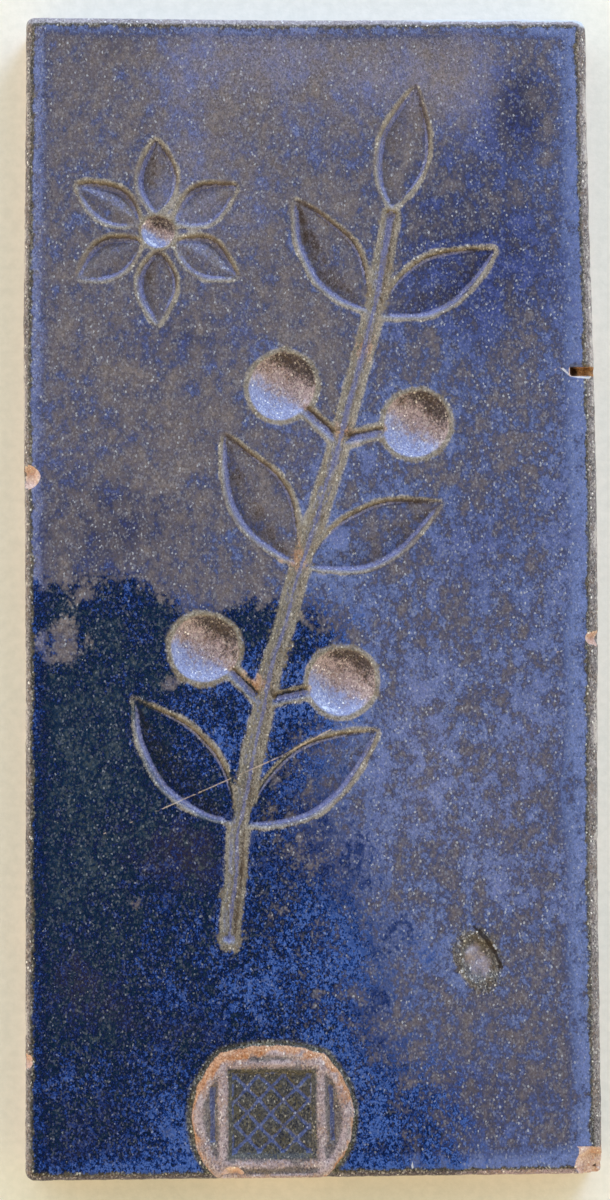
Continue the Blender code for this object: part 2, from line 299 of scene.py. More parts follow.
def latticeGap(x, y):
    # distance in mm from the nearest line of a square lattice set on its corner
    dx, dy = recessPlace(x, y)
    pitch = pad["latticePitch"]
    first, second = (dx + dy) / math.sqrt(2), (dx - dy) / math.sqrt(2)
    gaps = [np.abs((line / pitch + 0.5) % 1 - 0.5) * pitch for line in (first, second)]
    return np.minimum(*gaps)


def bowlReach(x, y):
    # 0 in the middle of the nearest bowl and 1 at its rim
    reaches = [np.hypot(x / mm - across, y / mm - along) / radius for (across, along), radius in sprig["bowls"]]
    return np.minimum.reduce(reaches)


def pitReach(x, y):
    # 0 in the middle of the blown pit and 1 at its rim
    turn = math.radians(wear["pitTilt"])
    dx, dy = x / mm - wear["pitCentre"][0], y / mm - wear["pitCentre"][1]
    across = dx * math.cos(turn) + dy * math.sin(turn)
    along = dy * math.cos(turn) - dx * math.sin(turn)
    return np.hypot(across / wear["pitRadii"][0], along / wear["pitRadii"][1])


def wobbleMaps(x, y):
    # a slight waver that makes every pressed line look drawn by hand; none at the edges
    left, right, bottom, top = planSides(x, y, 1.0)
    clear = np.minimum(np.minimum(x - left, right - x), np.minimum(y - bottom, top - y))
    calm = eased(clear, 1.0 * mm, 4.0 * mm) * wobble["amount"]
    return calm * softNoise(wobble["reach"], 1), calm * softNoise(wobble["reach"], 2)


def pressedMaps(raw):
    # every map of the face: its height, and where glaze runs thin, pools or gathers beside the relief
    plainX, plainY = np.meshgrid(gridX, gridY)
    shiftX, shiftY = wobbleMaps(plainX, plainY)
    x, y = plainX + shiftX, plainY + shiftY
    raw = sampled(raw, x, y)
    left, right, bottom, top = planSides(plainX, plainY, 1.0)
    clear = np.minimum(np.minimum(plainX - left, right - plainX), np.minimum(plainY - bottom, top - plainY))
    onFace = eased(clear, 0.2 * mm, 0.8 * mm)
    broken = np.maximum(chipped(x, y, raw), inCrack(x, y))
    aroundBroken = 1 - np.clip(blurred(broken, 0.9 * mm) * 3, 0, 1)
    inPad = padGap(x, y)
    onPad = (inPad > 0) & (raw > faceLevel - outline["edgeDrop"])
    notPad = 1 - eased(inPad, -0.6, 0.2)
    relief = np.clip((faceLevel - raw) / (0.25 * mm), 0, 1) * onFace * (1 - broken) * notPad
    hollow = blurred(relief, 0.35 * mm)

    height = raw.copy()
    whole = onFace * (1 - broken)
    lip = np.clip(blurred(relief, 0.9 * mm) * 2, 0, 1) * (1 - hollow)
    height += 0.16 * mm * lip * whole
    height += (0.10 * mm * softNoise(9 * mm, 3) + 0.04 * mm * softNoise(2.2 * mm, 4)) * whole

    # the pad: a raised lip round it, ridges beside the recess, and a lattice in the recess
    recessed = recessGap(x, y)
    outerLip = np.exp(-(((inPad - 1.9) / 1.3) ** 2))
    frameRidge = np.exp(-(((recessed + 1.6) / 1.2) ** 2))
    ridges = np.clip(np.maximum(outerLip, frameRidge) * (1 + 0.25 * softNoise(2.0 * mm, 9)), 0, 1)
    shelf = (recessed < 0.1) & (inPad > 0.6)
    height -= np.where(onPad & shelf, (1 - ridges) * pad["valleyDepth"], 0.0)
    height += np.where(onPad, 0.05 * mm * softNoise(1.0 * mm, 5) - 0.10 * mm, 0.0)
    valley = np.where(onPad & shelf, 1 - ridges, 0.0)
    gap = latticeGap(x, y)
    lattice = (1 - eased(gap, pad["latticeWidth"] * 0.4, pad["latticeWidth"])) * (recessed > 1.3)
    height -= lattice * pad["latticeDepth"]

    # the pit: a rough crater in a broken rim
    reach = pitReach(x, y)
    crater = (1 - eased(reach, 0.6, 0.95)) * 0.20 * softNoise(0.8 * mm, 6)
    rimBump = np.exp(-(((reach - 0.90) / 0.20) ** 2)) * (0.16 + 0.16 * softNoise(1.0 * mm, 7))
    height += (crater + rimBump) * mm

    softened = blurred(height, 0.26 * mm)
    height = np.where(broken > 0.5, height + 0.10 * mm * softNoise(0.5 * mm, 8), softened)
    height = np.minimum(height, tileHigh.z)
    curve = (blurred(height, 0.15 * mm) - blurred(height, 0.70 * mm)) * onFace * aroundBroken
    smooth = blurred(height, 0.5 * mm)
    fallY, fallX = np.gradient(smooth, probe["cell"])
    lightX, lightY = 0.52, 0.85  # the way towards the window, over the face
    beside = np.clip(blurred(relief, 2.2 * mm) * 2.6, 0, 1) * (1 - hollow)
    steepness = np.hypot(fallX, fallY) * onFace
    return {
        "height": height,
        "arris": np.clip((curve - 0.02 * mm) / (0.12 * mm), 0, 1),
        "pool": np.clip((-curve - 0.09 * mm) / (0.10 * mm), 0, 1),
        "valley": blurred(valley, 0.3 * mm),
        "steep": eased(steepness, 0.20, 0.55) * aroundBroken,
        "brim": np.clip(blurred(relief, 0.8 * mm) * 2.4, 0, 1) * (1 - hollow),
        "lattice": lattice,
        # how far each slope faces the window; the glaze paints its highlights and shade from this
        "lean": -(fallX * lightX + fallY * lightY) * onFace,
        "beside": beside,
        "hollow": hollow,
        "broken": broken,
        "busy": np.clip(blurred((np.abs(curve) > 0.035 * mm) * 1.0, 0.5 * mm) * 3, 0, 1),
    }


# Glaze zones over the face, in mm: borders of the wet dark one, and soft patches
# given as middle, radii, tilt and amount

zones = {
    "wetTop": [
        (-80, 1.0), (-66, 1.5), (-56, 3.0), (-46, 1.5), (-38, -1.0), (-33, -7.0), (-25, -6.0),
        (-16, -3.0), (-8, -2.0), (2, -3.0), (12, -12.0), (20, -30.0), (80, -60.0),
    ],
    "wetTopSoftness": [(-80, 3.4), (-10, 3.4), (6, 9.0), (80, 14.0)],
    "wetRight": [
        (-156, 33.0), (-140, 29.0), (-120, 23.0), (-100, 17.0), (-80, 9.0), (-65, 2.0),
        (-50, 1.0), (-35, 6.0), (-20, 9.0), (10, 8.0),
    ],
    "wetRightSoftness": [(-156, 16.0), (-90, 22.0), (-60, 14.0), (-40, 9.0), (10, 7.0)],
    "islands": [
        ((-64.5, -14), (8, 7), 0, 2.8),
        ((-57.5, -2.5), (4, 2.6), 0, 1.8),
        ((-36.5, -24.5), (2.6, 2.0), 30, 2.4),
        ((-45, -80), (3.0, 1.6), 30, 2.0),
    ],
    "buildBase": 0.35,
    "buildRightwards": 0.24,
    "build": [  # thicker glaze, or thinner where negative
        ((47, 92), (18, 20), 0, 0.06),
        ((26, -50), (14, 30), 0, 0.05),
        ((30, 142), (36, 18), 0, -0.04),
        ((43, -130), (25, 16), 10, -0.10),
        ((5, -100), (24, 20), -10, 0.13),
        ((-33, -138), (8, 15), 10, 0.20),
        ((-4, -37), (9, 18), 0, 0.14),
        ((9, -131), (11, 16), 0, 0.18),
        ((-26, -24), (12, 13), 30, 0.14),
        ((-24, 9), (7, 6), 0, 0.24),
        ((5, 6), (5, 15), 0, 0.26),
        ((-40, -40), (20, 20), 0, 0.05),
        ((-60, -60), (14, 40), 0, -0.10),
    ],
    # paler glaze; near the top partly a painted haze of the window's reflection
    "pale": [
        ((37, 132), (17, 13), 0, 0.60),
        ((48, -53), (24, 30), 0, 0.20),
        ((-28, 105), (16, 20), 0, 0.45),
        ((-10, 138), (34, 13), 0, 0.55),
        ((28, -45), (10, 26), 0, 0.25),
    ],
    "dusk": [
        ((56, 127), (7.5, 11), 0, 1.1),
        ((46, 88), (26, 30), 0, 0.90),
        ((44, 20), (24, 26), 0, 0.28),
        ((-50, 141), (6, 5), 0, 0.6),
        ((-48, 55), (14, 16), 0, 0.2),
        ((-31, 66), (9, 6), 0, 0.4),
        ((43, -130), (25, 16), 10, 0.35),
        ((-52, 16), (22, 14), 0, 0.65),
        ((15, -145), (30, 12), 0, 0.3),
    ],
    "violet": [
        ((-32, -68), (20, 13), 10, 0.70),
        ((6, -66), (13, 15), 0, 0.85),
        ((-61, -97), (14, 12), 0, 0.5),
        ((-38, -112), (24, 9), -8, 0.5),
        ((-56, -138), (16, 12), 0, 0.5),
        ((16, -112), (9, 11), 0, 0.6),
        ((20, -88), (9, 13), 0, 0.5),
    ],
    "ember": [  # orange-brown patches in the corners of the relief
        ((-14.5, -24.5), (4.0, 3.0), 0, 1.0),
        ((8.5, 41.0), (3.6, 3.0), 0, 0.8),
        ((-4.5, 9.0), (3.0, 4.5), 0, 0.9),
        ((13.5, 63.0), (3.0, 4.0), 0, 0.7),
    ],
}


def patchSum(x, y, patches):
    total = np.zeros(np.shape(x))
    for middle, radii, tilt, amount in patches:
        turn = math.radians(tilt)
        dx, dy = x / mm - middle[0], y / mm - middle[1]
        along = dx * math.cos(turn) + dy * math.sin(turn)
        across = dy * math.cos(turn) - dx * math.sin(turn)
        total += amount * np.exp(-((along / radii[0]) ** 2) - (across / radii[1]) ** 2)
    return total


def zoneMaps(x, y):
    maps = {name: patchSum(x, y, zones[name]) for name in ("build", "pale", "dusk", "violet", "ember")}
    # the opaque blue grows to the right of a slanting line
    rightwards = (x / mm + 14) * 0.926 - y / mm * 0.377
    maps["build"] += zones["buildBase"] + zones["buildRightwards"] * eased(rightwards, -10, 26)
    below = np.interp(x / mm, *zip(*zones["wetTop"])) - y / mm
    leftOf = np.interp(y / mm, *zip(*zones["wetRight"])) - x / mm
    below = below / np.interp(x / mm, *zip(*zones["wetTopSoftness"]))
    leftOf = leftOf / np.interp(y / mm, *zip(*zones["wetRightSoftness"]))
    # 0 on the border, with dry islands
    maps["wet"] = np.clip(np.minimum(below, leftOf), -3, 2) - patchSum(x, y, zones["islands"])
    return maps


# The tile itself: one closed skin over the frame's slab

skin = {
    "cellsAcross": 105,
    "cellsAlong": 214,
    "borderRefined": 2.2 * mm,
    "refineReach": 2.6 * mm,
    "rollAngles": (75, 60, 45, 30, 15, 0),
    "wallLevels": (10.6, 9.4, 8.0, 6.4, 4.8, 3.3, 2.0, 0.8),
    "probeReach": 4.0 * mm,
    "raggedness": 0.26 * mm,
    "bandLeft": 4.4,
    "bandTop": 3.2,
    "bandBottom": 4.4,
    "bandRightUpper": 4.1,
    "bandRightMiddle": 6.0,
    "bandRightLower": 3.8,
    "stripLeft": 0.5,  # how far over the face the thinly glazed strip along each side reaches
    "stripTop": 0.3,
    "stripBottom": -0.2,
    "stripRightUpper": 0.8,
    "stripRightMiddle": 0.3,
    "stripRightLower": -0.6,
}


def refinedFace(maps):
    # a grid in u and v, cut finer where the relief is
    bm = bmesh.new()
    across, along = skin["cellsAcross"], skin["cellsAlong"]
    posts = [[bm.verts.new((i / across, j / along, 0)) for i in range(across + 1)] for j in range(along + 1)]
    for j in range(along):
        for i in range(across):
            bm.faces.new((posts[j][i], posts[j][i + 1], posts[j + 1][i + 1], posts[j + 1][i]))
    near = np.clip(blurred(maps["busy"], 1.0 * mm) * 6, 0, 1)
    wide = np.clip(blurred(maps["busy"], skin["refineReach"]) * 8, 0, 1)
    for level, wanted in ((1, wide), (2, near)):
        bm.faces.ensure_lookup_table()
        middles = np.array([face.calc_center_median()[:2] for face in bm.faces])
        x, y = planPlace(middles[:, 0], middles[:, 1], 1.0)[:2]
        chosen = sampled(wanted, x, y) > 0.5
        if level == 1:
            chosen |= edgeBand(x, y)[0] < skin["borderRefined"] / mm
        chosen |= chipped(x, y, np.full(len(x), faceLevel), 1.15) > 0
        chosen |= inCrack(x, y)
        edges = {edge for face, pick in zip(bm.faces, chosen) if pick for edge in face.edges}
        bmesh.ops.subdivide_edges(bm, edges=list(edges), cuts=1, use_grid_fill=True)
    return bm


def wallRows(u, v):
    # the rounded edge and the wall: each row's ideal places, outward ways and run from the face in metres
    topX, topY = planPlace(u, v, 1.0)[:2]
    wallX, wallY, outX, outY = planPlace(u, v, 0.0)
    quarter = 0.25 * math.pi * (np.hypot(wallX - topX, wallY - topY) + outline["edgeDrop"])
    rows = []
    for angle in skin["rollAngles"]:
        turn = math.radians(angle)
        x, y, wayX, wayY = planPlace(u, v, 1 - math.cos(turn))
        z = np.full(len(u), faceLevel - outline["edgeDrop"] * (1 - math.sin(turn)))
        ways = np.column_stack((wayX * math.cos(turn), wayY * math.cos(turn), np.full(len(u), math.sin(turn))))
        rows.append((np.column_stack((x, y, z)), ways, (90 - angle) / 90 * quarter))
    for level in skin["wallLevels"]:
        z = np.full(len(u), level * mm)
        run = quarter + faceLevel - outline["edgeDrop"] - level * mm
        rows.append((np.column_stack((wallX, wallY, z)), np.column_stack((outX, outY, 0 * z)), run))
    return rows


def wrapRow(tree, ideals, ways):
    # presses one row of the edge or wall onto the frame, with the raggedness of cut clay
    places, depths = [], []
    for start, way in zip(ideals, ways):
        ideal, out = Vector(start), Vector(way)
        hit = tree.ray_cast(ideal + out * skin["probeReach"], -out, 3 * skin["probeReach"])[0]
        place = hit if hit is not None else ideal
        rough = 0.5 + 0.6 * noise.noise(ideal * 240) + 0.4 * noise.noise(ideal * 800)
        fade = min(1.0, ideal.z / (3 * mm))
        places.append(place - out * max(0.0, rough) * skin["raggedness"] * fade)
        depths.append((ideal - place).dot(out))
    return np.array(places), np.array(depths)


def sideValues(x, y, name):
    # the band's or strip's width along each side, in mm; along the right one it changes with the height
    height = np.clip((y - tileLow.y) / (tileHigh.y - tileLow.y), 0, 1)
    toUpper, toLower = eased(height, 0.6, 1.0), 1 - eased(height, 0.0, 0.4)
    right = skin[name + "RightMiddle"] * (1 - toUpper - toLower)
    right = right + skin[name + "RightUpper"] * toUpper + skin[name + "RightLower"] * toLower
    level = np.ones(np.shape(x))
    return np.array([skin[name + "Left"] * level, right, skin[name + "Bottom"] * level, skin[name + "Top"] * level])


def edgeBand(x, y):
    # how far in from the rounded edge, in mm, the same as a share of the blue band's width, and
    # how far in the thin strip reaches there
    left, right, bottom, top = planSides(x, y, 1.0)
    gaps = np.array([x - left, right - x, y - bottom, top - y]) / mm
    nearest = gaps.argmin(axis=0)
    strip = np.take_along_axis(sideValues(x, y, "strip"), nearest[None], axis=0)[0]
    return gaps.min(axis=0), (gaps / sideValues(x, y, "band")).min(axis=0), strip


def buildTile(tree, maps):
    bm = refinedFace(maps)
    bm.verts.index_update()
    uv = np.array([vert.co[:2] for vert in bm.verts])
    faces = [[vert.index for vert in face.verts] for face in bm.faces]
    following = {}
    for edge in bm.edges:
        if edge.is_boundary:
            loop = edge.link_loops[0]
            following[loop.vert.index] = loop.link_loop_next.vert.index
    bm.free()
    rim = [next(iter(following))]
    while following[rim[-1]] != rim[0]:
        rim.append(following[rim[-1]])

    x, y = planPlace(uv[:, 0], uv[:, 1], 1.0)[:2]
    gap, share, strip = edgeBand(x, y)
    points =[np.column_stack((x, y, sampled(maps["height"], x, y)))]
    painted = ("arris", "pool", "valley", "steep", "brim", "lattice", "lean", "beside", "hollow", "broken")
    traits = {name: [sampled(maps[name], x, y)] for name in painted}
    traits["edgeGap"], traits["edgeShare"] = [gap - strip], [share]

    def addStrip(upper, places, values):
        # joins a new row of points to the row above it
        first = sum(len(block) for block in points)
        lower = list(range(first, first + len(rim)))
        for k in range(len(rim)):
            after = (k + 1) % len(rim)
            faces.append([upper[after], upper[k], lower[k], lower[after]])
        points.append(places)
        for name, blocks in traits.items():
            blocks.append(values.get(name, np.zeros(len(rim))))
        return lower

    above = rim
    for ideals, ways, run in wallRows(uv[rim, 0], uv[rim, 1]):
        places, depths = wrapRow(tree, ideals, ways)
        gone = (depths > 0.12 * mm) * np.maximum(chipped(*places.T, 1.1), inCrack(places[:, 0], places[:, 1]))
        strip = edgeBand(places[:, 0], places[:, 1])[2]
        above = addStrip(above, places, {"broken": gone, "edgeGap": -run / mm - strip, "edgeShare": -run / mm})
    backX, backY = planPlace(uv[rim, 0], uv[rim, 1], 0.0, outline["backChamfer"])[:2]
    deep = np.full(len(rim), -30.0)
    flat = np.column_stack((backX, backY, np.zeros(len(rim))))
    faces.append(addStrip(above, flat, {"edgeGap": deep, "edgeShare": deep})[::-1])

    places = np.concatenate(points)
    mesh = bpy.data.meshes.new("glazedTile")
    mesh.from_pydata(places.tolist(), [], faces)
    x, y, z = places.T
    shiftX, shiftY = (sampled(field, x, y) for field in wobbleMaps(*np.meshgrid(gridX, gridY)))
    values = {name: np.concatenate(blocks) for name, blocks in traits.items()}
    values["hairGap"] = np.minimum.reduce([lineGap(x, y, points) for points in wear["hairlines"]])
    values["lipGap"] = np.minimum.reduce([lineGap(x, y, points) for points in wear["paleLines"]])
    values["padGap"] = padGap(x + shiftX, y + shiftY)
    values["recessGap"] = recessGap(x + shiftX, y + shiftY)
    values["pitReach"] = pitReach(x, y)
    values["bowlReach"] = bowlReach(x + shiftX, y + shiftY)
    values["stemGap"] = lineGap(x + shiftX, y + shiftY, sprig["stem"])
    values["creaseGap"] = lineGap(x, y, wear["pitShadowLine"])
    right, below, above = (value * mm for value in wear["bareCorner"])
    values["broken"] = np.maximum(values["broken"], (x > right) * (y < below) * (z > above) * 1.0)
    values["crackHole"] = inCrack(x, y) * (z < faceLevel - 0.4 * mm) * 1.0
    values.update(zoneMaps(x, y))
    for name, numbers in values.items():
        layer = mesh.attributes.new(name, "FLOAT", "POINT")
        layer.data.foreach_set("value", numbers.astype(np.float32))
    mesh.shade_smooth()
    mesh.set_sharp_from_angle(angle=math.radians(50))
    tile = bpy.data.objects.new("glazedTile", mesh)
    bpy.context.scene.collection.objects.link(tile)
    triangles = sum(len(face.vertices) - 2 for face in mesh.polygons)
    print("tile skin:", len(places), "points,", triangles, "triangles")
    return tile


# Short ways to write node trees

def node(tree, kind, inputs=None, **settings):
    made = tree.nodes.new(kind)
    for name, value in settings.items():
        setattr(made, name, value)
    for key, value in (inputs or {}).items():
        if isinstance(value, bpy.types.NodeSocket):
            tree.links.new(value, made.inputs[key])
        else:
            made.inputs[key].default_value = value
    return made


def calc(tree, operation, *values, clamp=False):
    return node(tree, "ShaderNodeMath", dict(enumerate(values)), operation=operation, use_clamp=clamp).outputs[0]


def addUp(tree, *terms):
    # terms are sockets, or pairs of a socket and what it is multiplied by
    total = None
    for term in terms:
        value, times = term if isinstance(term, tuple) else (term, 1.0)
        total = calc(tree, "MULTIPLY_ADD", value, times, 0.0 if total is None else total)
    return total


def blend(tree, share, first, second):
    made = node(tree, "ShaderNodeMix", {0: share, 6: first, 7: second}, data_type="RGBA")
    return made.outputs[2]


def multiplied(tree, colour, by):
    made = node(tree, "ShaderNodeMix", {0: 1.0, 6: colour, 7: by}, data_type="RGBA", blend_type="MULTIPLY")
    return made.outputs[2]


def gradient(tree, value, stops):
    # a colour for each value, from pairs of value and colour
    made = node(tree, "ShaderNodeValToRGB", {0: value})
    elements = made.color_ramp.elements
    elements.remove(elements[-1])
    elements[0].position, elements[0].color = stops[0]
    for position, colour in stops[1:]:
        elements.new(position).color = colour
    return made.outputs[0]


def ramp(tree, value, low, high):
    # 0 at low, 1 at high, eased between; low above high turns it round
    made = node(tree, "ShaderNodeMapRange", {0: value, 1: low, 2: high}, interpolation_type="SMOOTHSTEP")
    return made.outputs[0]


def grain(tree, place, scale, detail=2.0, roughness=0.55):
    made = node(tree, "ShaderNodeTexNoise", {"Vector": place, "Scale": scale, "Detail": detail, "Roughness": roughness})
    return made.outputs[0]


def trait(tree, name):
    return node(tree, "ShaderNodeAttribute", attribute_name=name).outputs["Fac"]


def groupTree(name, inputs, outputs):
    tree = bpy.data.node_groups.new(name, "ShaderNodeTree")
    for label, kind, value in inputs:
        made = tree.interface.new_socket(label, in_out="INPUT", socket_type=kind)
        if value is not None:
            made.default_value = value
    for label, kind in outputs:
        tree.interface.new_socket(label, in_out="OUTPUT", socket_type=kind)
    return tree, tree.nodes.new("NodeGroupInput"), tree.nodes.new("NodeGroupOutput")


def useGroup(tree, group, inputs):
    made = tree.nodes.new("ShaderNodeGroup")
    made.node_tree = group
    for key, value in inputs.items():
        if isinstance(value, bpy.types.NodeSocket):
            tree.links.new(value, made.inputs[key])
        else:
            made.inputs[key].default_value = value
    return made


def noiseGroup():
    # the unevenness of glaze and clay at several scales, each about 0, and the pale specks, which are pale grains with
    # painted glints of light
    names = ("Cloud", "Mottle", "Fleck", "Grit", "Warm", "Spark")
    tree, source, sink = groupTree(
        "firedNoise",
        [("Place", "NodeSocketVector", None), ("Grain Size", "NodeSocketFloat", 0.4)],
        [(name, "NodeSocketFloat") for name in names],
    )
    place = source.outputs["Place"]
    scale = calc(tree, "DIVIDE", 1000.0, source.outputs["Grain Size"])
    cells = node(tree, "ShaderNodeTexVoronoi", {"Vector": place, "Scale": scale}, voronoi_dimensions="3D")
    pick = node(tree, "ShaderNodeSeparateColor", {0: cells.outputs["Color"]}).outputs
    fine = grain(tree, place, calc(tree, "MULTIPLY", scale, 1.2), 1.0)
    mottle = grain(tree, place, calc(tree, "MULTIPLY", scale, 0.1), 5.0, 0.66)
    warm = addUp(tree, (pick[1], 0.5), (mottle, -1.6))
    faint = calc(tree, "MULTIPLY", calc(tree, "POWER", ramp(tree, pick[2], 0.5, 1.0), 3.0), 0.32)
    results = {
        "Cloud": addUp(tree, grain(tree, place, calc(tree, "MULTIPLY", scale, 0.02), 3.0), -0.5),
        "Mottle": addUp(tree, mottle, -0.5),
        "Fleck": addUp(tree, grain(tree, place, calc(tree, "MULTIPLY", scale, 0.4), 2.0), -0.5),
        "Grit": addUp(tree, (pick[0], 0.7), (fine, 1.6), -1.15),
        "Warm": ramp(tree, warm, -0.46, -0.28),
        "Spark": addUp(tree, faint, (ramp(tree, pick[2], 0.982, 0.997), 0.6)),
    }
    for name, value in results.items():
        tree.links.new(value, sink.inputs[name])
    return tree


def paletteGroup():
    # the four colours that a patch of glaze or clay breaks up into
    tree, source, sink = groupTree(
        "grainPalette",
        [("Tone", "NodeSocketFloat", 0.5), ("Warm", "NodeSocketFloat", 0.0), ("Spark", "NodeSocketFloat", 0.0),
         ("Dark", "NodeSocketColor", rgb(80, 78, 84)), ("Light", "NodeSocketColor", rgb(130, 126, 134)),
         ("Warm Colour", "NodeSocketColor", rgb(110, 96, 80)), ("Speck Colour", "NodeSocketColor", rgb(190, 186, 190))],
        [("Colour", "NodeSocketColor")],
    )
    given = source.outputs
    colour = blend(tree, given["Tone"], given["Dark"], given["Light"])
    colour = blend(tree, calc(tree, "MULTIPLY", given["Warm"], 0.7), colour, given["Warm Colour"])
    colour = blend(tree, given["Spark"], colour, given["Speck Colour"])
    tree.links.new(colour, sink.inputs["Colour"])
    return tree


def newMaterial(name):
    material = bpy.data.materials.new(name)
    material.use_nodes = True
    tree = material.node_tree
    shader = tree.nodes["Principled BSDF"]
    place = node(tree, "ShaderNodeTexCoord").outputs["Object"]
    return material, tree, shader, place


# The glaze's colours: from thin to thick in each zone, and palettes of dark, light, warm and
# glinting grains for the rest; the glints are painted glints of light on pale grains

glaze = {
    "grainSize": 0.38,
    "dry": [
        (0.00, rgb(115, 107, 113)),
        (0.14, rgb(102, 96, 106)),
        (0.28, rgb(96, 91, 106)),
        (0.40, rgb(90, 88, 108)),
        (0.50, rgb(76, 77, 106)),
        (0.59, rgb(67, 73, 114)),
        (0.68, rgb(75, 89, 142)),
        (0.80, rgb(88, 104, 159)),
        (1.00, rgb(102, 119, 179)),
    ],
    "wet": [
        (0.00, rgb(56, 68, 84)),
        (0.15, rgb(20, 43, 70)),
        (0.27, rgb(5, 35, 68)),
        (0.39, rgb(0, 28, 60)),
        (0.50, rgb(0, 20, 58)),
        (0.60, rgb(0, 18, 66)),
        (0.70, rgb(0, 30, 88)),
        (0.81, rgb(14, 48, 118)),
        (0.92, rgb(38, 70, 144)),
        (1.00, rgb(60, 90, 164)),
    ],
    "dull": [
        (0.05, rgb(88, 80, 84)),
        (0.25, rgb(58, 52, 66)),
        (0.42, rgb(40, 35, 60)),
        (0.56, rgb(28, 31, 68)),
        (0.75, rgb(22, 38, 92)),
    ],
    "duskTint": rgb(150, 158, 198),
    "paleTint": rgb(140, 142, 188),
    "spark": rgb(172, 178, 198),
    "brim": (rgb(90, 86, 85), rgb(163, 156, 149), rgb(136, 121, 104), rgb(224, 220, 216)),
    "bowl": (rgb(104, 92, 102), rgb(188, 168, 178), rgb(156, 132, 130), rgb(255, 246, 248)),
    # in the bowls: painted shade on the upper sides, a painted reflection of the window on the lower ones, and a
    # painted highlight at the lower rim
    "bowlDark": (rgb(28, 26, 38), rgb(84, 76, 92), rgb(74, 62, 62), rgb(200, 192, 196)),
    "bowlGlow": (rgb(108, 116, 168), rgb(152, 162, 212), rgb(136, 134, 162), rgb(240, 244, 255)),
    "glint": rgb(222, 232, 255),
    "shadeTint": rgb(150, 138, 138),
    "sheen": (rgb(98, 104, 152), rgb(136, 142, 192), rgb(132, 128, 146), rgb(206, 212, 238)),
    "line": (rgb(84, 90, 144), rgb(134, 138, 188), rgb(130, 124, 140), rgb(190, 194, 226)),
    "padPink": (rgb(106, 95, 106), rgb(190, 173, 186), rgb(168, 142, 136), rgb(236, 228, 238)),
    "padRim": (rgb(140, 94, 68), rgb(208, 162, 134), rgb(184, 126, 92), rgb(242, 216, 198)),
    "padDark": (rgb(34, 38, 58), rgb(84, 84, 86), rgb(94, 88, 70), rgb(170, 166, 162)),
    "padBlue": (rgb(52, 64, 116), rgb(92, 106, 164), rgb(84, 82, 104), rgb(168, 176, 214)),
    "olive": (rgb(26, 25, 28), rgb(84, 82, 72), rgb(100, 92, 72), rgb(220, 220, 216)),
    "pitRim": (rgb(44, 43, 50), rgb(112, 109, 110), rgb(104, 94, 86), rgb(232, 232, 236)),
    "pitMiddle": (rgb(124, 118, 140), rgb(176, 170, 196), rgb(156, 142, 146), rgb(230, 228, 242)),
    "pitShadowLine": rgb(30, 20, 24),
    "edge": (rgb(62, 59, 68), rgb(150, 143, 152), rgb(126, 110, 106), rgb(240, 238, 242)),
    "edgeChalk": rgb(206, 198, 200),
    "topEdge": (rgb(104, 102, 118), rgb(176, 172, 192), rgb(144, 136, 140), rgb(228, 230, 244)),
    "topGlint": rgb(198, 208, 230),
    "bottomEdge": (rgb(24, 24, 36), rgb(98, 92, 112), rgb(84, 72, 80), rgb(240, 236, 248)),
    "bottomPink": (rgb(92, 82, 98), rgb(184, 166, 190), rgb(166, 140, 140), rgb(236, 228, 240)),
    "clay": (rgb(180, 148, 142), rgb(226, 200, 198), rgb(204, 160, 144), rgb(252, 244, 240)),
    "rust": (rgb(92, 60, 38), rgb(192, 144, 102), rgb(214, 152, 98), rgb(232, 196, 160)),
    "crackShade": rgb(84, 66, 56),
}


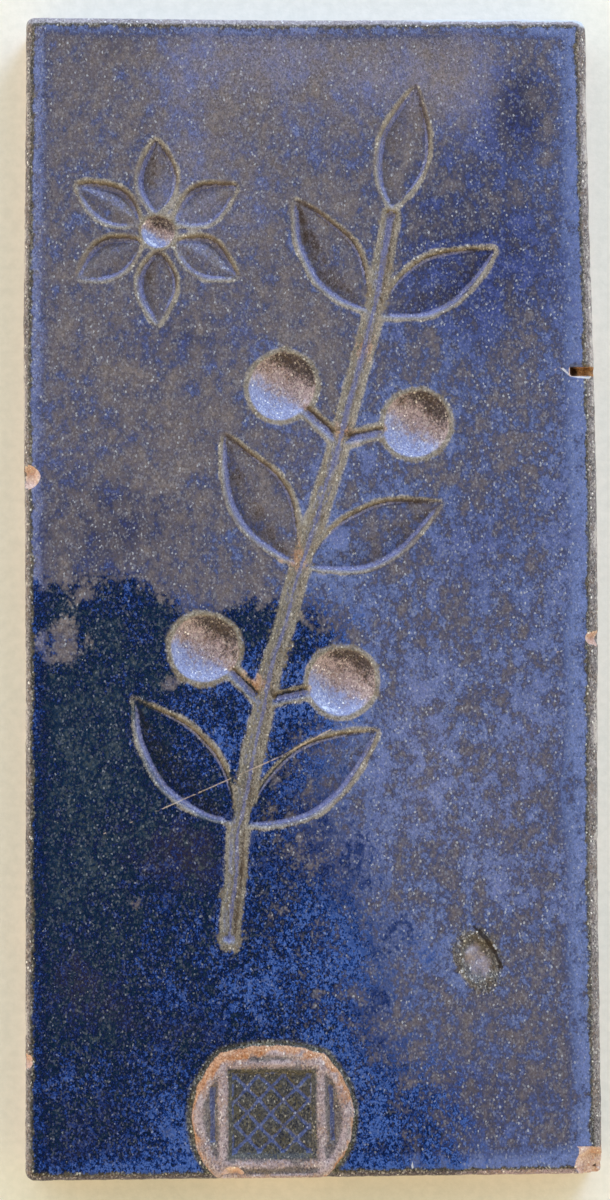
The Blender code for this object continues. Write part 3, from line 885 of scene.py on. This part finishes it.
def glazeMaterial(firedNoise, grainPalette):
    material, tree, shader, place = newMaterial("blueGlaze")
    flowing = node(tree, "ShaderNodeMapping", {"Vector": place, "Scale": (1.0, 0.78, 1.0)}).outputs[0]
    uneven = useGroup(tree, firedNoise, {"Place": flowing, "Grain Size": glaze["grainSize"]}).outputs
    cloud, mottle, fleck, grit = (uneven[name] for name in ("Cloud", "Mottle", "Fleck", "Grit"))
    tone = addUp(tree, (grit, 0.9), (mottle, 1.4), (cloud, 0.8), 0.5)

    def tint(name):
        dark, light, warm, speck = glaze[name]
        made = useGroup(tree, grainPalette, {
            "Tone": tone, "Warm": uneven["Warm"], "Spark": uneven["Spark"],
            "Dark": dark, "Light": light, "Warm Colour": warm, "Speck Colour": speck,
        })
        return made.outputs["Colour"]

    def lay(colour, mask, name, amount=1.0):
        mask = mask if amount == 1.0 else calc(tree, "MULTIPLY", mask, amount)
        return blend(tree, mask, colour, tint(name) if isinstance(name, str) else name)

    def both(*parts):
        made = parts[0]
        for part in parts[1:]:
            made = calc(tree, "MULTIPLY", made, part)
        return made

    def without(mask):
        return calc(tree, "SUBTRACT", 1.0, mask)

    # where the glaze lies thick: beside the relief, in creases and in a broken band inside the edges
    worn = ramp(tree, addUp(tree, trait(tree, "arris"), (fleck, 0.8), (mottle, 0.9), (grit, 0.14)), 0.25, 0.90)
    pooled = ramp(tree, addUp(tree, trait(tree, "pool"), (fleck, 0.5), (grit, 0.1)), 0.35, 0.80)
    bandField = addUp(tree, trait(tree, "edgeShare"), (mottle, 3.6), (cloud, 2.6), (fleck, 0.4), (grit, 0.25))
    bandStart = addUp(tree, trait(tree, "edgeGap"), (mottle, 1.6), (fleck, 0.6))
    inBand = both(ramp(tree, bandField, 1.15, 0.70), ramp(tree, bandStart, 0.0, 0.9))
    pimples = node(tree, "ShaderNodeTexVoronoi", {"Vector": place, "Scale": 150.0}, voronoi_dimensions="2D")
    pimplePick = node(tree, "ShaderNodeSeparateColor", {0: pimples.outputs["Color"]}).outputs[0]
    pimpleSize = addUp(tree, pimples.outputs["Distance"], (fleck, 0.2))
    pimple = both(ramp(tree, pimpleSize, 0.12, 0.06), ramp(tree, pimplePick, 0.55, 0.60))
    wetField = addUp(tree, trait(tree, "wet"), (cloud, 3.2), (mottle, 5.0), (fleck, 1.4), (grit, 0.35))
    wetMask = ramp(tree, wetField, -0.35, 0.65)
    thick = addUp(
        tree, trait(tree, "build"), (cloud, 0.9), (mottle, 1.8), (fleck, 0.34), (grit, 0.06),
        (trait(tree, "beside"), 0.20), (trait(tree, "steep"), -0.20), (worn, -0.30), (inBand, 0.36),
        (both(inBand, wetMask), -0.14), (both(pimple, wetMask), -0.25), (pooled, 0.25),
    )

    # the dry zones, with paler and duskier clouds; the paler ones near the top are partly a painted haze of the
    # window's reflection
    colour = gradient(tree, thick, glaze["dry"])
    paleMask = ramp(tree, addUp(tree, trait(tree, "pale"), (mottle, 1.2), (cloud, 1.5), (grit, 0.2)), 0.0, 1.1)
    colour = lay(colour, paleMask, glaze["paleTint"], 0.6)
    duskMask = ramp(tree, addUp(tree, trait(tree, "dusk"), (mottle, 1.4), (cloud, 1.5), (grit, 0.2)), 0.0, 1.1)
    colour = multiplied(tree, colour, blend(tree, duskMask, rgb(255, 255, 255), glaze["duskTint"]))

    # a milky bloom on the band along the left edge
    across, along = node(tree, "ShaderNodeSeparateXYZ", {0: place}).outputs[:2]
    colour = lay(colour, both(inBand, ramp(tree, across, -67 * mm, -70 * mm)), "sheen", 0.4)

    # the wet dark zone, and duller violet patches in it
    speckled = addUp(tree, thick, (grit, 0.42), (fleck, 0.60), (mottle, -0.45), 0.05)
    deep = gradient(tree, speckled, glaze["wet"])
    dullMask = ramp(tree, addUp(tree, trait(tree, "violet"), (mottle, 2.0), (grit, 0.3)), 0.28, 0.80)
    deep = blend(tree, calc(tree, "MULTIPLY", dullMask, 0.85), deep, gradient(tree, speckled, glaze["dull"]))
    colour = blend(tree, wetMask, colour, deep)

    # every grain a little lighter or darker, and pale specks: pale grains with painted glints of light
    colour = multiplied(tree, colour, addUp(tree, (grit, 0.62), 1.0))
    speckAmount = both(uneven["Spark"], addUp(tree, (wetMask, -0.45), (inBand, -0.30), 0.9))
    colour = blend(tree, speckAmount, colour, glaze["spark"])

    # the impressions: thin tan glaze round them, painted shade on their upper sides, a painted reflection of the window
    # on the lower ones, lined creases
    lean = addUp(tree, trait(tree, "lean"), (cloud, 0.3), (mottle, 0.5), (fleck, 0.4), (grit, 0.08))
    hollow = trait(tree, "hollow")
    bowlField = addUp(tree, trait(tree, "bowlReach"), (mottle, 0.25), (grit, 0.03))
    inBowl = ramp(tree, bowlField, 1.0, 0.94)
    bowlRing = ramp(tree, bowlField, 1.18, 1.08)
    stemField = addUp(tree, trait(tree, "stemGap"), (mottle, 6.5), (cloud, 4.5), (fleck, 1.2), (grit, 0.5))
    brimField = addUp(tree, trait(tree, "brim"), (mottle, 2.0), (cloud, 1.4), (grit, 0.25))
    brimMask = both(ramp(tree, brimField, 0.10, 0.55), ramp(tree, trait(tree, "brim"), 0.03, 0.20))
    brimMask = calc(tree, "MAXIMUM", brimMask, ramp(tree, stemField, 2.8, 1.7))
    brimMask = calc(tree, "MAXIMUM", brimMask, bowlRing)
    colour = lay(colour, brimMask, "brim", 0.85)
    emberField = addUp(tree, trait(tree, "ember"), (mottle, 2.2), (grit, 0.25))
    colour = lay(colour, both(brimMask, ramp(tree, emberField, 0.30, 0.80)), "padRim", 0.6)
    # a painted reflection of the window on the slopes that face it
    colour = lay(colour, both(hollow, ramp(tree, lean, 0.14, 0.42)), "sheen", 0.6)
    # painted shade on the slopes that face away from the window
    shadedUpperSide = both(hollow, ramp(tree, lean, -0.12, -0.42))
    colour = multiplied(tree, colour, blend(tree, shadedUpperSide, rgb(255, 255, 255), glaze["shadeTint"]))
    stemMiddle = ramp(tree, addUp(tree, trait(tree, "stemGap"), (mottle, 1.6), (fleck, 0.8)), 0.55, 0.25)
    colour = lay(colour, stemMiddle, "line", 0.85)
    # a painted reflection of the window low in each bowl, painted shade high in it
    bowlColour = lay(tint("bowl"), ramp(tree, lean, -0.04, 0.36), "bowlGlow")
    bowlColour = lay(bowlColour, ramp(tree, lean, -0.16, -0.48), "bowlDark", 0.95)
    # a painted highlight along the bowl's lower rim
    bowlColour = lay(bowlColour, ramp(tree, lean, 0.60, 0.80), glaze["glint"], 0.7)
    colour = blend(tree, inBowl, colour, bowlColour)
    colour = lay(colour, both(pooled, without(inBowl)), "line", 0.8)

    # the stamp pad
    inPad, inRecess = trait(tree, "padGap"), trait(tree, "recessGap")
    padMask = ramp(tree, addUp(tree, inPad, (mottle, 1.8)), -0.1, 0.25)
    # painted shade in the valleys between the pad's ridges
    padValleyShade = ramp(tree, addUp(tree, trait(tree, "valley"), (mottle, 1.4), (fleck, 0.6)), 0.22, 0.75)
    padColour = lay(tint("padPink"), padValleyShade, "padDark", 0.75)
    towardsTop = ramp(tree, along, -132 * mm, -121 * mm)  # the orange of the rim fades down its sides
    rimField = addUp(tree, inPad, (mottle, 7.0), (cloud, 6.0), (towardsTop, -1.6))
    padColour = lay(padColour, ramp(tree, rimField, 1.3, -0.2), "padRim")
    padColour = lay(padColour, ramp(tree, inRecess, -0.5, 0.1), "padDark")
    latticeMask = ramp(tree, addUp(tree, trait(tree, "lattice"), (mottle, 1.0), (fleck, 0.6)), 0.25, 0.65)
    padColour = lay(padColour, latticeMask, "padBlue", 0.9)
    padPools = ramp(tree, addUp(tree, pooled, (mottle, 1.6), (fleck, 0.8)), 0.40, 0.90)
    padColour = lay(padColour, padPools, "padBlue", 0.75)
    colour = blend(tree, padMask, colour, padColour)
    footGap = addUp(tree, inPad, (mottle, 2.0))
    padFoot = both(ramp(tree, footGap, -1.9, -0.7), ramp(tree, footGap, 0.35, -0.15))
    colour = lay(colour, padFoot, "olive", 0.9)

    # the blown pit
    reach = addUp(tree, trait(tree, "pitReach"), (mottle, 1.5), (grit, 0.12))
    colour = lay(colour, ramp(tree, reach, 1.25, 0.85), "pitRim", 0.85)
    colour = lay(colour, ramp(tree, reach, 0.52, 0.24), "pitMiddle")
    # a painted shadow under the pit's upper rim
    pitShadow = ramp(tree, addUp(tree, trait(tree, "creaseGap"), (mottle, 1.6), (grit, 0.15)), 0.62, 0.30)
    colour = lay(colour, pitShadow, glaze["pitShadowLine"], 0.85)

    # the rounded edge and the walls: thin glaze over gritty clay
    notPad = without(padMask)
    nearTop = ramp(tree, along, tileHigh.y - 3.0 * mm, tileHigh.y - 1.8 * mm)
    nearBottom = ramp(tree, along, tileLow.y + 2.6 * mm, tileLow.y + 1.6 * mm)
    # the top edge's lavender glaze, painted lighter as if lit from the window side
    edgeColour = lay(tint("edge"), nearTop, "topEdge")
    edgeColour = lay(edgeColour, nearBottom, "bottomEdge")
    towardsChip = ramp(tree, addUp(tree, across, (cloud, 0.03), (mottle, 0.02)), 38 * mm, 46 * mm)
    edgeColour = lay(edgeColour, both(nearBottom, towardsChip), "bottomPink", 0.8)
    edgeField = addUp(tree, trait(tree, "edgeGap"), (mottle, 2.4), (fleck, 0.7), (grit, 0.15))
    chalky = ramp(tree, addUp(tree, (cloud, 1.6), (mottle, 2.4), (grit, 0.3)), -0.05, 0.35)
    onRoll = both(ramp(tree, edgeField, -1.2, -1.8), ramp(tree, edgeField, -6.0, -4.2))
    chalky = both(chalky, onRoll, without(nearTop), without(nearBottom))
    edgeColour = lay(edgeColour, chalky, glaze["edgeChalk"], 0.55)
    onEdge = ramp(tree, edgeField, 0.25, -0.25)
    colour = blend(tree, both(onEdge, notPad), colour, edgeColour)
    darkLine = both(ramp(tree, edgeField, -0.7, -0.1), ramp(tree, edgeField, 0.75, 0.25), notPad)
    colour = lay(colour, darkLine, "olive", 0.75)
    # a painted highlight along the top edge's roll, towards its right end
    topGlint = both(nearTop, ramp(tree, across, 18 * mm, 34 * mm), onRoll)
    colour = lay(colour, topGlint, glaze["topGlint"], 0.85)

    # hairline, chips and the open crack
    hairField = addUp(tree, trait(tree, "hairGap"), (calc(tree, "ABSOLUTE", mottle), 0.5))
    hair = both(ramp(tree, hairField, 0.26, 0.09), ramp(tree, addUp(tree, cloud, mottle), -0.24, -0.04))
    colour = lay(colour, hair, rgb(196, 178, 172), 0.8)
    lip = ramp(tree, addUp(tree, trait(tree, "lipGap"), (calc(tree, "ABSOLUTE", mottle), 0.8)), 0.42, 0.22)
    colour = lay(colour, lip, rgb(206, 208, 224), 0.9)
    footField = addUp(tree, trait(tree, "edgeGap"), (cloud, 8.0), (mottle, 2.0))
    bare = calc(tree, "MAXIMUM", trait(tree, "broken"), ramp(tree, footField, -12.2, -12.8))
    bare = ramp(tree, addUp(tree, bare, (fleck, 0.3)), 0.42, 0.58)
    colour = lay(colour, bare, "clay")
    # painted shade, deepening towards the crack's inner end
    crackEnd = ramp(tree, addUp(tree, across, (mottle, 0.004), (fleck, 0.002)), 70.2 * mm, 68.4 * mm)
    crackColour = multiplied(tree, tint("rust"), blend(tree, crackEnd, rgb(255, 255, 255), glaze["crackShade"]))
    colour = blend(tree, ramp(tree, trait(tree, "crackHole"), 0.3, 0.7), colour, crackColour)
    tree.links.new(colour, shader.inputs["Base Color"])

    glossy = calc(tree, "MAXIMUM", pooled, both(hollow, ramp(tree, lean, 0.10, 0.3)))
    sheen = addUp(
        tree, (grit, 0.16), (fleck, 0.25), (wetMask, -0.22), (glossy, -0.20), (worn, 0.08), (bare, 0.45), 0.48,
    )
    tree.links.new(calc(tree, "MAXIMUM", sheen, 0.12, clamp=True), shader.inputs["Roughness"])
    shader.inputs["Specular IOR Level"].default_value = 0.22
    ridges = addUp(tree, (grit, 0.8), (fleck, 1.2), (mottle, 1.8), (both(bare, grit), 1.5))
    bump = node(tree, "ShaderNodeBump", {"Height": ridges, "Strength": 0.5, "Distance": 0.00020})
    tree.links.new(bump.outputs[0], shader.inputs["Normal"])
    return material


def clayMaterial(name, firedNoise, grainPalette, colours, size, roughness, relief):
    # unglazed fired clay or loose grog: one palette over the whole piece
    material, tree, shader, place = newMaterial(name)
    uneven = useGroup(tree, firedNoise, {"Place": place, "Grain Size": size}).outputs
    dark, light, warm, speck = colours
    tone = addUp(tree, (uneven["Grit"], 0.9), (uneven["Mottle"], 1.4), (uneven["Cloud"], 1.2), 0.5)
    made = useGroup(tree, grainPalette, {
        "Tone": tone, "Warm": uneven["Warm"], "Spark": uneven["Spark"],
        "Dark": dark, "Light": light, "Warm Colour": warm, "Speck Colour": speck,
    })
    tree.links.new(made.outputs["Colour"], shader.inputs["Base Color"])
    tree.links.new(addUp(tree, (uneven["Grit"], 0.1), roughness), shader.inputs["Roughness"])
    bumps = addUp(tree, uneven["Grit"], (uneven["Fleck"], 1.5))
    bump = node(tree, "ShaderNodeBump", {"Height": bumps, "Strength": 0.6, "Distance": relief})
    tree.links.new(bump.outputs[0], shader.inputs["Normal"])
    return material


# Coarse grains that stand out of the glaze, and glassy beads round the pit

grains = {
    "perSquareMetre": 13000.0,
    "smallest": 0.06 * mm,
    "largest": 0.15 * mm,
    "sunk": 0.35,
    "seed": 11,
    "colours": (rgb(112, 112, 124), rgb(184, 188, 206), rgb(152, 138, 124), rgb(236, 242, 255)),
}

beads = {
    "perSquareMetre": 260000.0,
    "smallest": 0.16 * mm,
    "largest": 0.38 * mm,
    "sunk": 0.2,
    "seed": 23,
}


def scatterTree():
    tree = bpy.data.node_groups.new("scatterGrains", "GeometryNodeTree")
    tree.is_modifier = True
    tree.interface.new_socket("Geometry", in_out="INPUT", socket_type="NodeSocketGeometry")
    for label, kind in (
        ("Weight", "NodeSocketString"),
        ("Per Square Metre", "NodeSocketFloat"),
        ("Smallest", "NodeSocketFloat"),
        ("Largest", "NodeSocketFloat"),
        ("Sunk", "NodeSocketFloat"),
        ("Seed", "NodeSocketInt"),
        ("Material", "NodeSocketMaterial"),
    ):
        tree.interface.new_socket(label, in_out="INPUT", socket_type=kind)
    tree.interface.new_socket("Geometry", in_out="OUTPUT", socket_type="NodeSocketGeometry")
    source, sink = tree.nodes.new("NodeGroupInput"), tree.nodes.new("NodeGroupOutput")
    given = source.outputs
    weight = node(tree, "GeometryNodeInputNamedAttribute", {"Name": given["Weight"]}, data_type="FLOAT").outputs[0]
    density = node(tree, "ShaderNodeMath", {0: weight, 1: given["Per Square Metre"]}, operation="MULTIPLY").outputs[0]
    scattered = node(tree, "GeometryNodeDistributePointsOnFaces", {
        "Mesh": given["Geometry"], "Density": density, "Seed": given["Seed"],
    })
    size = node(tree, "FunctionNodeRandomValue", {
        "Min": given["Smallest"], "Max": given["Largest"], "Seed": given["Seed"],
    }, data_type="FLOAT")
    turn = node(tree, "FunctionNodeRandomValue", {"Seed": given["Seed"]}, data_type="FLOAT_VECTOR")
    turn.inputs[1].default_value = (2 * math.pi, 2 * math.pi, 2 * math.pi)
    lump = node(tree, "GeometryNodeMeshIcoSphere", {"Radius": 1.0, "Subdivisions": 1})
    drop = node(tree, "ShaderNodeMath", {0: size.outputs[1], 1: given["Sunk"]}, operation="MULTIPLY").outputs[0]
    drop = node(tree, "ShaderNodeMath", {0: drop, 1: -1.0}, operation="MULTIPLY").outputs[0]
    offset = node(tree, "ShaderNodeVectorMath", {0: scattered.outputs["Normal"], "Scale": drop}, operation="SCALE")
    settled = node(tree, "GeometryNodeSetPosition", {"Geometry": scattered.outputs["Points"], "Offset": offset.outputs[0]})
    placed = node(tree, "GeometryNodeInstanceOnPoints", {
        "Points": settled.outputs[0], "Instance": lump.outputs["Mesh"],
        "Rotation": turn.outputs[0], "Scale": size.outputs[1],
    })
    real = node(tree, "GeometryNodeRealizeInstances", {"Geometry": placed.outputs[0]})
    painted = node(tree, "GeometryNodeSetMaterial", {"Geometry": real.outputs[0], "Material": given["Material"]})
    tree.links.new(painted.outputs[0], sink.inputs[0])
    return tree


def scatter(name, skinObject, tree, weight, values, material):
    # runs the tree on a copy of the tile's skin and keeps only the grains, as a plain mesh
    bearer = bpy.data.objects.new(name + "Bearer", skinObject.data)
    bpy.context.scene.collection.objects.link(bearer)
    modifier = bearer.modifiers.new("scatter", "NODES")
    modifier.node_group = tree
    wanted = {
        "Weight": weight, "Per Square Metre": values["perSquareMetre"], "Smallest": values["smallest"],
        "Largest": values["largest"], "Sunk": values["sunk"], "Seed": values["seed"], "Material": material,
    }
    for item in tree.interface.items_tree:
        if item.in_out == "INPUT" and item.name in wanted:
            modifier[item.identifier] = wanted[item.name]
    shaped = bearer.evaluated_get(bpy.context.evaluated_depsgraph_get())
    mesh = bpy.data.meshes.new_from_object(shaped)
    bpy.data.objects.remove(bearer)
    mesh.name = name
    for corner in mesh.vertices:  # no grain stands out past the frame's box
        corner.co = [min(max(c, low), high) for c, low, high in zip(corner.co, tileLow, tileHigh)]
    made = bpy.data.objects.new(name, mesh)
    bpy.context.scene.collection.objects.link(made)
    print(name, "has", len(mesh.polygons), "faces")
    return made


def addWeights(tile):
    # where grains and beads may sit
    mesh = tile.data
    count = len(mesh.vertices)
    read = {}
    for name in ("edgeGap", "broken", "crackHole", "pitReach", "padGap"):
        read[name] = np.zeros(count, np.float32)
        mesh.attributes[name].data.foreach_get("value", read[name])
    onRoll = (read["edgeGap"] < 0) & (read["edgeGap"] > -2.6)
    padFoot = (read["padGap"] < -0.2) & (read["padGap"] > -1.6)
    grainWeight = np.where(onRoll, 7.0, np.where(read["edgeGap"] >= 0, 1.0, 0.0)) + 9.0 * padFoot
    grainWeight *= (read["crackHole"] < 0.5)
    beadWeight = ((read["pitReach"] > 0.62) & (read["pitReach"] < 0.98)) * 1.0
    for name, weight in (("grainWeight", grainWeight), ("beadWeight", beadWeight)):
        mesh.attributes.new(name, "FLOAT", "POINT").data.foreach_set("value", weight.astype(np.float32))


# Floor, light and camera

setup = {
    "floorSize": 6.0,
    "keyColour": (0.52, 0.66, 1.0),
    "keyPower": 11.0,
    "keySize": 0.6,
    "keyDistance": 1.6,
    "keyTowards": (0.46, 0.72, 0.56),
    "roomColourNear": (1.03, 0.785, 0.41, 1.0),  # from the side of the stamp pad
    "roomColourFar": (0.955, 1.01, 0.92, 1.0),
    "roomColourLeft": (1.06, 1.06, 1.10, 1.0),
    "roomColourRight": (0.805, 0.885, 0.925, 1.0),
    "roomStrength": 2.35,
    "roomOverhead": 0.06,  # the share of the room's light that comes from straight above
    "cameraPlace": (-0.0221, -0.0392, 0.6),
    "cameraTurn": (3.55, -1.95, -0.39),
    "lens": 68.5,
}


def buildFloor():
    material, tree, shader, place = newMaterial("paleFloor")
    speckle = ramp(tree, grain(tree, place, 420.0, 4.0, 0.65), 0.3, 0.7)
    tone = blend(tree, speckle, rgb(240, 241, 240), rgb(248, 248, 247))
    tree.links.new(tone, shader.inputs["Base Color"])
    shader.inputs["Roughness"].default_value = 0.9
    bump = node(tree, "ShaderNodeBump", {"Height": grain(tree, place, 900.0, 3.0), "Strength": 0.15, "Distance": 0.0004})
    tree.links.new(bump.outputs[0], shader.inputs["Normal"])
    half = setup["floorSize"] / 2
    mesh = bpy.data.meshes.new("floor")
    mesh.from_pydata([(-half, -half, 0), (half, -half, 0), (half, half, 0), (-half, half, 0)], [], [(0, 1, 2, 3)])
    mesh.materials.append(material)
    floor = bpy.data.objects.new("floor", mesh)
    bpy.context.scene.collection.objects.link(floor)


def buildLight():
    # a room that is bright all round and dim overhead, and one window
    world = bpy.data.worlds.new("room")
    bpy.context.scene.world = world
    world.use_nodes = True
    tree = world.node_tree
    background = tree.nodes["Background"]
    way = node(tree, "ShaderNodeTexCoord").outputs["Generated"]
    part = node(tree, "ShaderNodeSeparateXYZ", {0: way}).outputs
    roomColour = blend(tree, ramp(tree, part[1], -0.5, 0.5), setup["roomColourNear"], setup["roomColourFar"])
    sideColour = blend(tree, ramp(tree, part[0], -0.5, 0.5), setup["roomColourLeft"], setup["roomColourRight"])
    tree.links.new(multiplied(tree, roomColour, sideColour), background.inputs["Color"])
    dimming = ramp(tree, part[2], 0.90, 0.35)
    share = calc(tree, "MULTIPLY_ADD", dimming, 1 - setup["roomOverhead"], setup["roomOverhead"])
    tree.links.new(calc(tree, "MULTIPLY", share, setup["roomStrength"]), background.inputs["Strength"])
    lamp = bpy.data.lights.new("window", "AREA")
    lamp.energy = setup["keyPower"]
    lamp.color = setup["keyColour"]
    lamp.size = setup["keySize"]
    holder = bpy.data.objects.new("window", lamp)
    towards = Vector(setup["keyTowards"]).normalized()
    holder.location = towards * setup["keyDistance"]
    holder.rotation_mode = "QUATERNION"
    holder.rotation_quaternion = towards.to_track_quat("Z", "Y")
    bpy.context.scene.collection.objects.link(holder)


def buildCamera():
    lens = bpy.data.cameras.new("camera")
    lens.lens = setup["lens"]
    lens.sensor_width = 36
    lens.clip_start = 0.01
    camera = bpy.data.objects.new("camera", lens)
    camera.location = setup["cameraPlace"]
    camera.rotation_euler = [math.radians(angle) for angle in setup["cameraTurn"]]
    bpy.context.scene.collection.objects.link(camera)
    bpy.context.scene.camera = camera


def paintTile(tile, firedNoise, palette):
    tile.data.materials.append(glazeMaterial(firedNoise, palette))
    tile.data.materials.append(clayMaterial("bareBackClay", firedNoise, palette, glaze["clay"], 0.7, 0.85, 0.0003))
    back = tile.data.polygons[-1]
    back.material_index = 1
    back.use_smooth = False


cadTree = BVHTree.FromObject(tileNode, bpy.context.evaluated_depsgraph_get())
gridX, gridY = probeAxes()
wallLines = {
    "left": probeWall(cadTree, 0, -1),
    "right": probeWall(cadTree, 0, 1),
    "bottom": probeWall(cadTree, 1, -1),
    "top": probeWall(cadTree, 1, 1),
}
print("reading the pressed shape off the frame")
faceMaps = pressedMaps(probeHeights(cadTree))
print("building the tile")
glazedTile = buildTile(cadTree, faceMaps)
addWeights(glazedTile)
firedNoise = noiseGroup()
grainPalette = paletteGroup()
paintTile(glazedTile, firedNoise, grainPalette)
print("scattering grog and beads")
scatterGrains = scatterTree()
paleGrog = clayMaterial("paleGrog", firedNoise, grainPalette, grains["colours"], 0.3, 0.25, 0.00005)
grogGrains = scatter("grogGrains", glazedTile, scatterGrains, "grainWeight", grains, paleGrog)
pitBeads = scatter("pitBeads", glazedTile, scatterGrains, "beadWeight", beads, paleGrog)
for piece in (glazedTile, grogGrains, pitBeads):
    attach(piece, "root")
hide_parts("tile")
print("floor, light and camera")
buildFloor()
buildLight()
buildCamera()
bpy.context.scene.view_settings.view_transform = "Standard"
